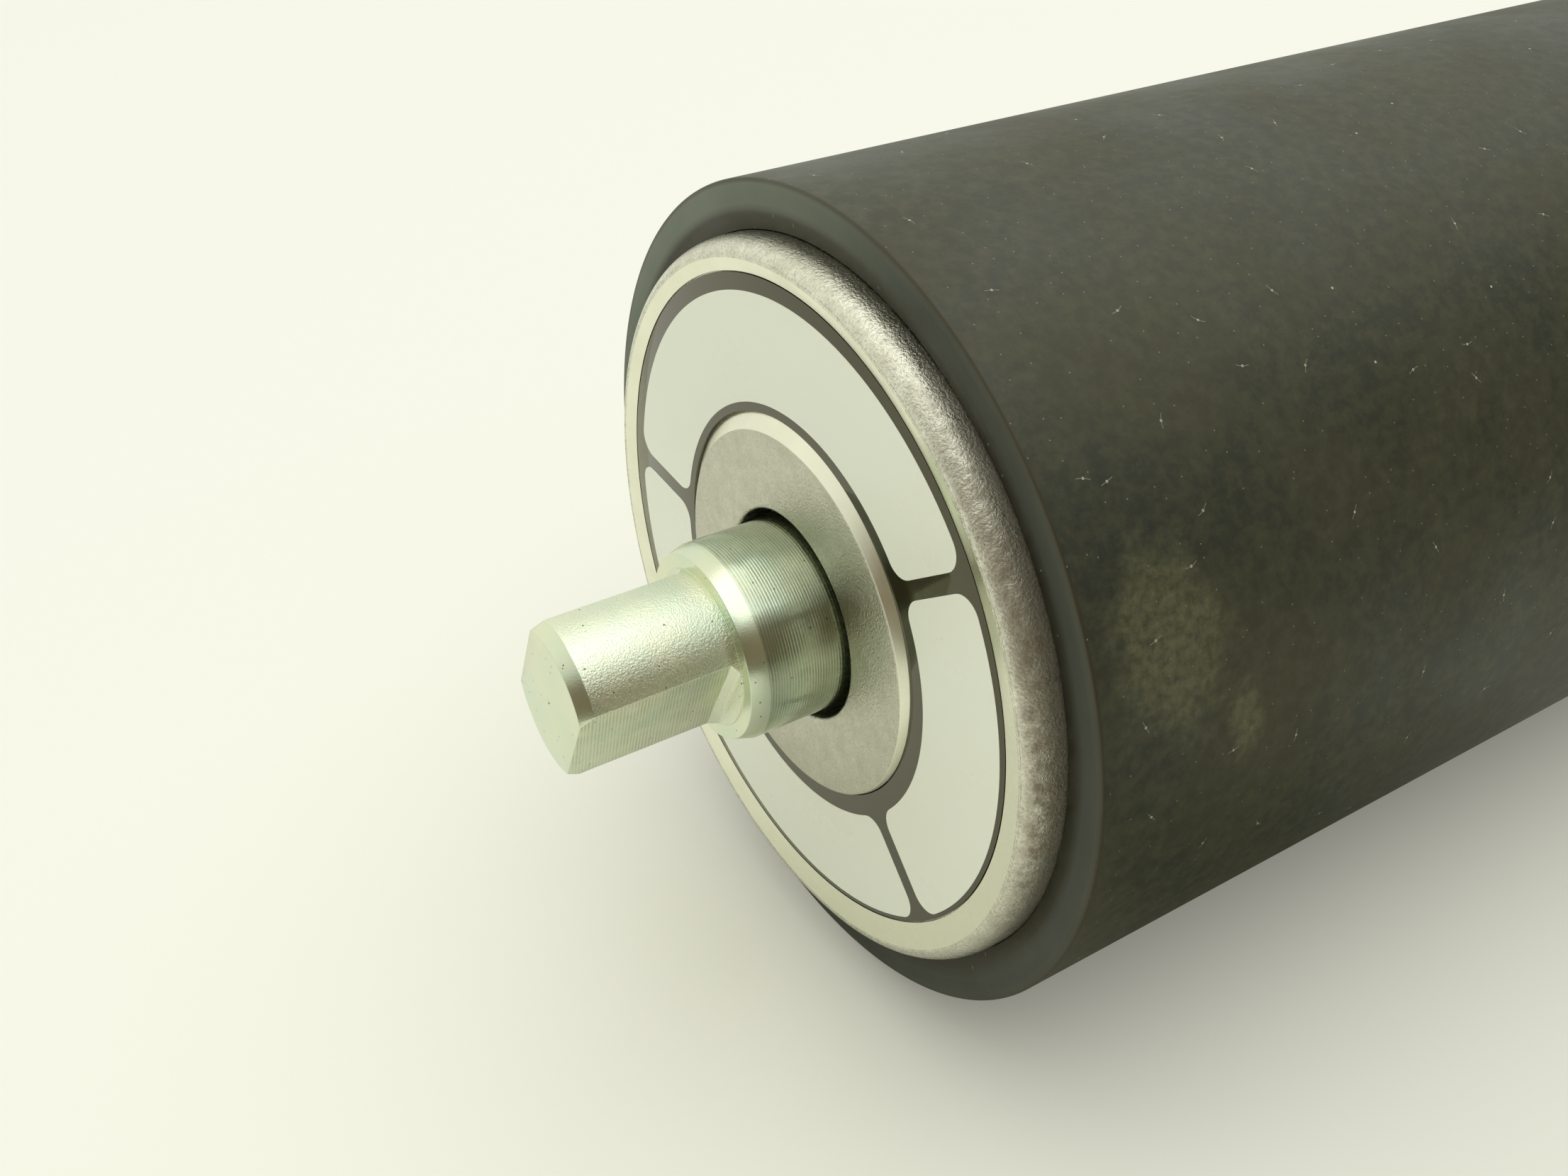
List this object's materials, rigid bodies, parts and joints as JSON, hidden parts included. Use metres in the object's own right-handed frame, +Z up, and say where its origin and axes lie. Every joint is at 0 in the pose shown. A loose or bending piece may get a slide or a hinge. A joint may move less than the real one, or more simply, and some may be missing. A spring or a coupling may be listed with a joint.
{
  "type": "motorized conveyor roller",
  "caption": "Rubber-covered conveyor roller with die-cast end caps and flatted shaft ends, driven by a gearmotor with planetary gears inside its tube.",
  "frame": {"origin": "middle of the roller, on its axis", "axes": "+X along the roller's axis towards the cable shaft, +Z up"},
  "size_m": [0.7688, 0.0629, 0.063],
  "materials": {
    "rubber": "ground matte rubber",
    "cast_aluminium": "die-cast, tumbled",
    "zinc_steel": "zinc plated, turned and milled",
    "name_ring": "printed film, pale bare panels",
    "tube_steel": "drawn steel",
    "bearing_steel": "ground",
    "black_plastic": "moulded",
    "lamination": "stacked sheet",
    "copper": "enamelled wire",
    "gear_steel": "hardened steel"
  },
  "bodies": {
    "fixed_unit": {"cable_shaft": "zinc_steel", "cable_bush": "black_plastic", "motor_casing": "tube_steel", "motor_shields": "cast_aluminium", "stator_core": "lamination", "stator_winding": "copper", "thermal_cutout": "black_plastic", "gear_case": "gear_steel"},
    "roller": {"roller_tube": "tube_steel", "rubber_cover": "rubber", "end_caps": "cast_aluminium", "name_ring": "name_ring", "end_bearing_outer_rings": "bearing_steel", "drive_hub": "cast_aluminium", "drive_key": "gear_steel", "output_carrier": "gear_steel"},
    "idle_axle": {"idle_shaft": "zinc_steel"},
    "rotor": {"motor_rotor": "lamination", "motor_pinion": "gear_steel"},
    "first_carrier": {"stage_1_carrier": "gear_steel"},
    "planet_1a": {"stage_1_planet_a": "gear_steel"},
    "planet_1b": {"stage_1_planet_b": "gear_steel"},
    "planet_1c": {"stage_1_planet_c": "gear_steel"},
    "planet_2a": {"stage_2_planet_a": "gear_steel"},
    "planet_2b": {"stage_2_planet_b": "gear_steel"},
    "planet_2c": {"stage_2_planet_c": "gear_steel"}
  },
  "joints": [
    {"name": "tube_spin", "type": "hinge", "parent": "fixed_unit", "child": "roller", "pos_m": [0, 0, 0], "axis": [1, 0, 0], "continuous": true},
    {"name": "idle_shaft_turn", "type": "hinge", "parent": "fixed_unit", "child": "idle_axle", "pos_m": [-0.36, 0, 0], "axis": [1, 0, 0], "continuous": true},
    {"name": "rotor_spin", "type": "hinge", "parent": "fixed_unit", "child": "rotor", "pos_m": [0.265, 0, 0], "axis": [1, 0, 0], "continuous": true},
    {"name": "first_carrier_spin", "type": "hinge", "parent": "fixed_unit", "child": "first_carrier", "pos_m": [0.19, 0, 0], "axis": [1, 0, 0], "continuous": true},
    {"name": "planet_1a_spin", "type": "hinge", "parent": "first_carrier", "child": "planet_1a", "pos_m": [0.197, 0.012, 0], "axis": [1, 0, 0], "continuous": true},
    {"name": "planet_1b_spin", "type": "hinge", "parent": "first_carrier", "child": "planet_1b", "pos_m": [0.197, -0.006, 0.01039], "axis": [1, 0, 0], "continuous": true},
    {"name": "planet_1c_spin", "type": "hinge", "parent": "first_carrier", "child": "planet_1c", "pos_m": [0.197, -0.006, -0.01039], "axis": [1, 0, 0], "continuous": true},
    {"name": "planet_2a_spin", "type": "hinge", "parent": "roller", "child": "planet_2a", "pos_m": [0.182, 0.012, 0], "axis": [1, 0, 0], "continuous": true},
    {"name": "planet_2b_spin", "type": "hinge", "parent": "roller", "child": "planet_2b", "pos_m": [0.182, -0.006, 0.01039], "axis": [1, 0, 0], "continuous": true},
    {"name": "planet_2c_spin", "type": "hinge", "parent": "roller", "child": "planet_2c", "pos_m": [0.182, -0.006, -0.01039], "axis": [1, 0, 0], "continuous": true}
  ],
  "couplings": [
    {"joint": "rotor_spin", "follows": "tube_spin", "ratio": 16},
    {"joint": "first_carrier_spin", "follows": "tube_spin", "ratio": 4},
    {"joint": "planet_1a_spin", "follows": "tube_spin", "ratio": -12},
    {"joint": "planet_1b_spin", "follows": "tube_spin", "ratio": -12},
    {"joint": "planet_1c_spin", "follows": "tube_spin", "ratio": -12},
    {"joint": "planet_2a_spin", "follows": "tube_spin", "ratio": -3},
    {"joint": "planet_2b_spin", "follows": "tube_spin", "ratio": -3},
    {"joint": "planet_2c_spin", "follows": "tube_spin", "ratio": -3}
  ]
}
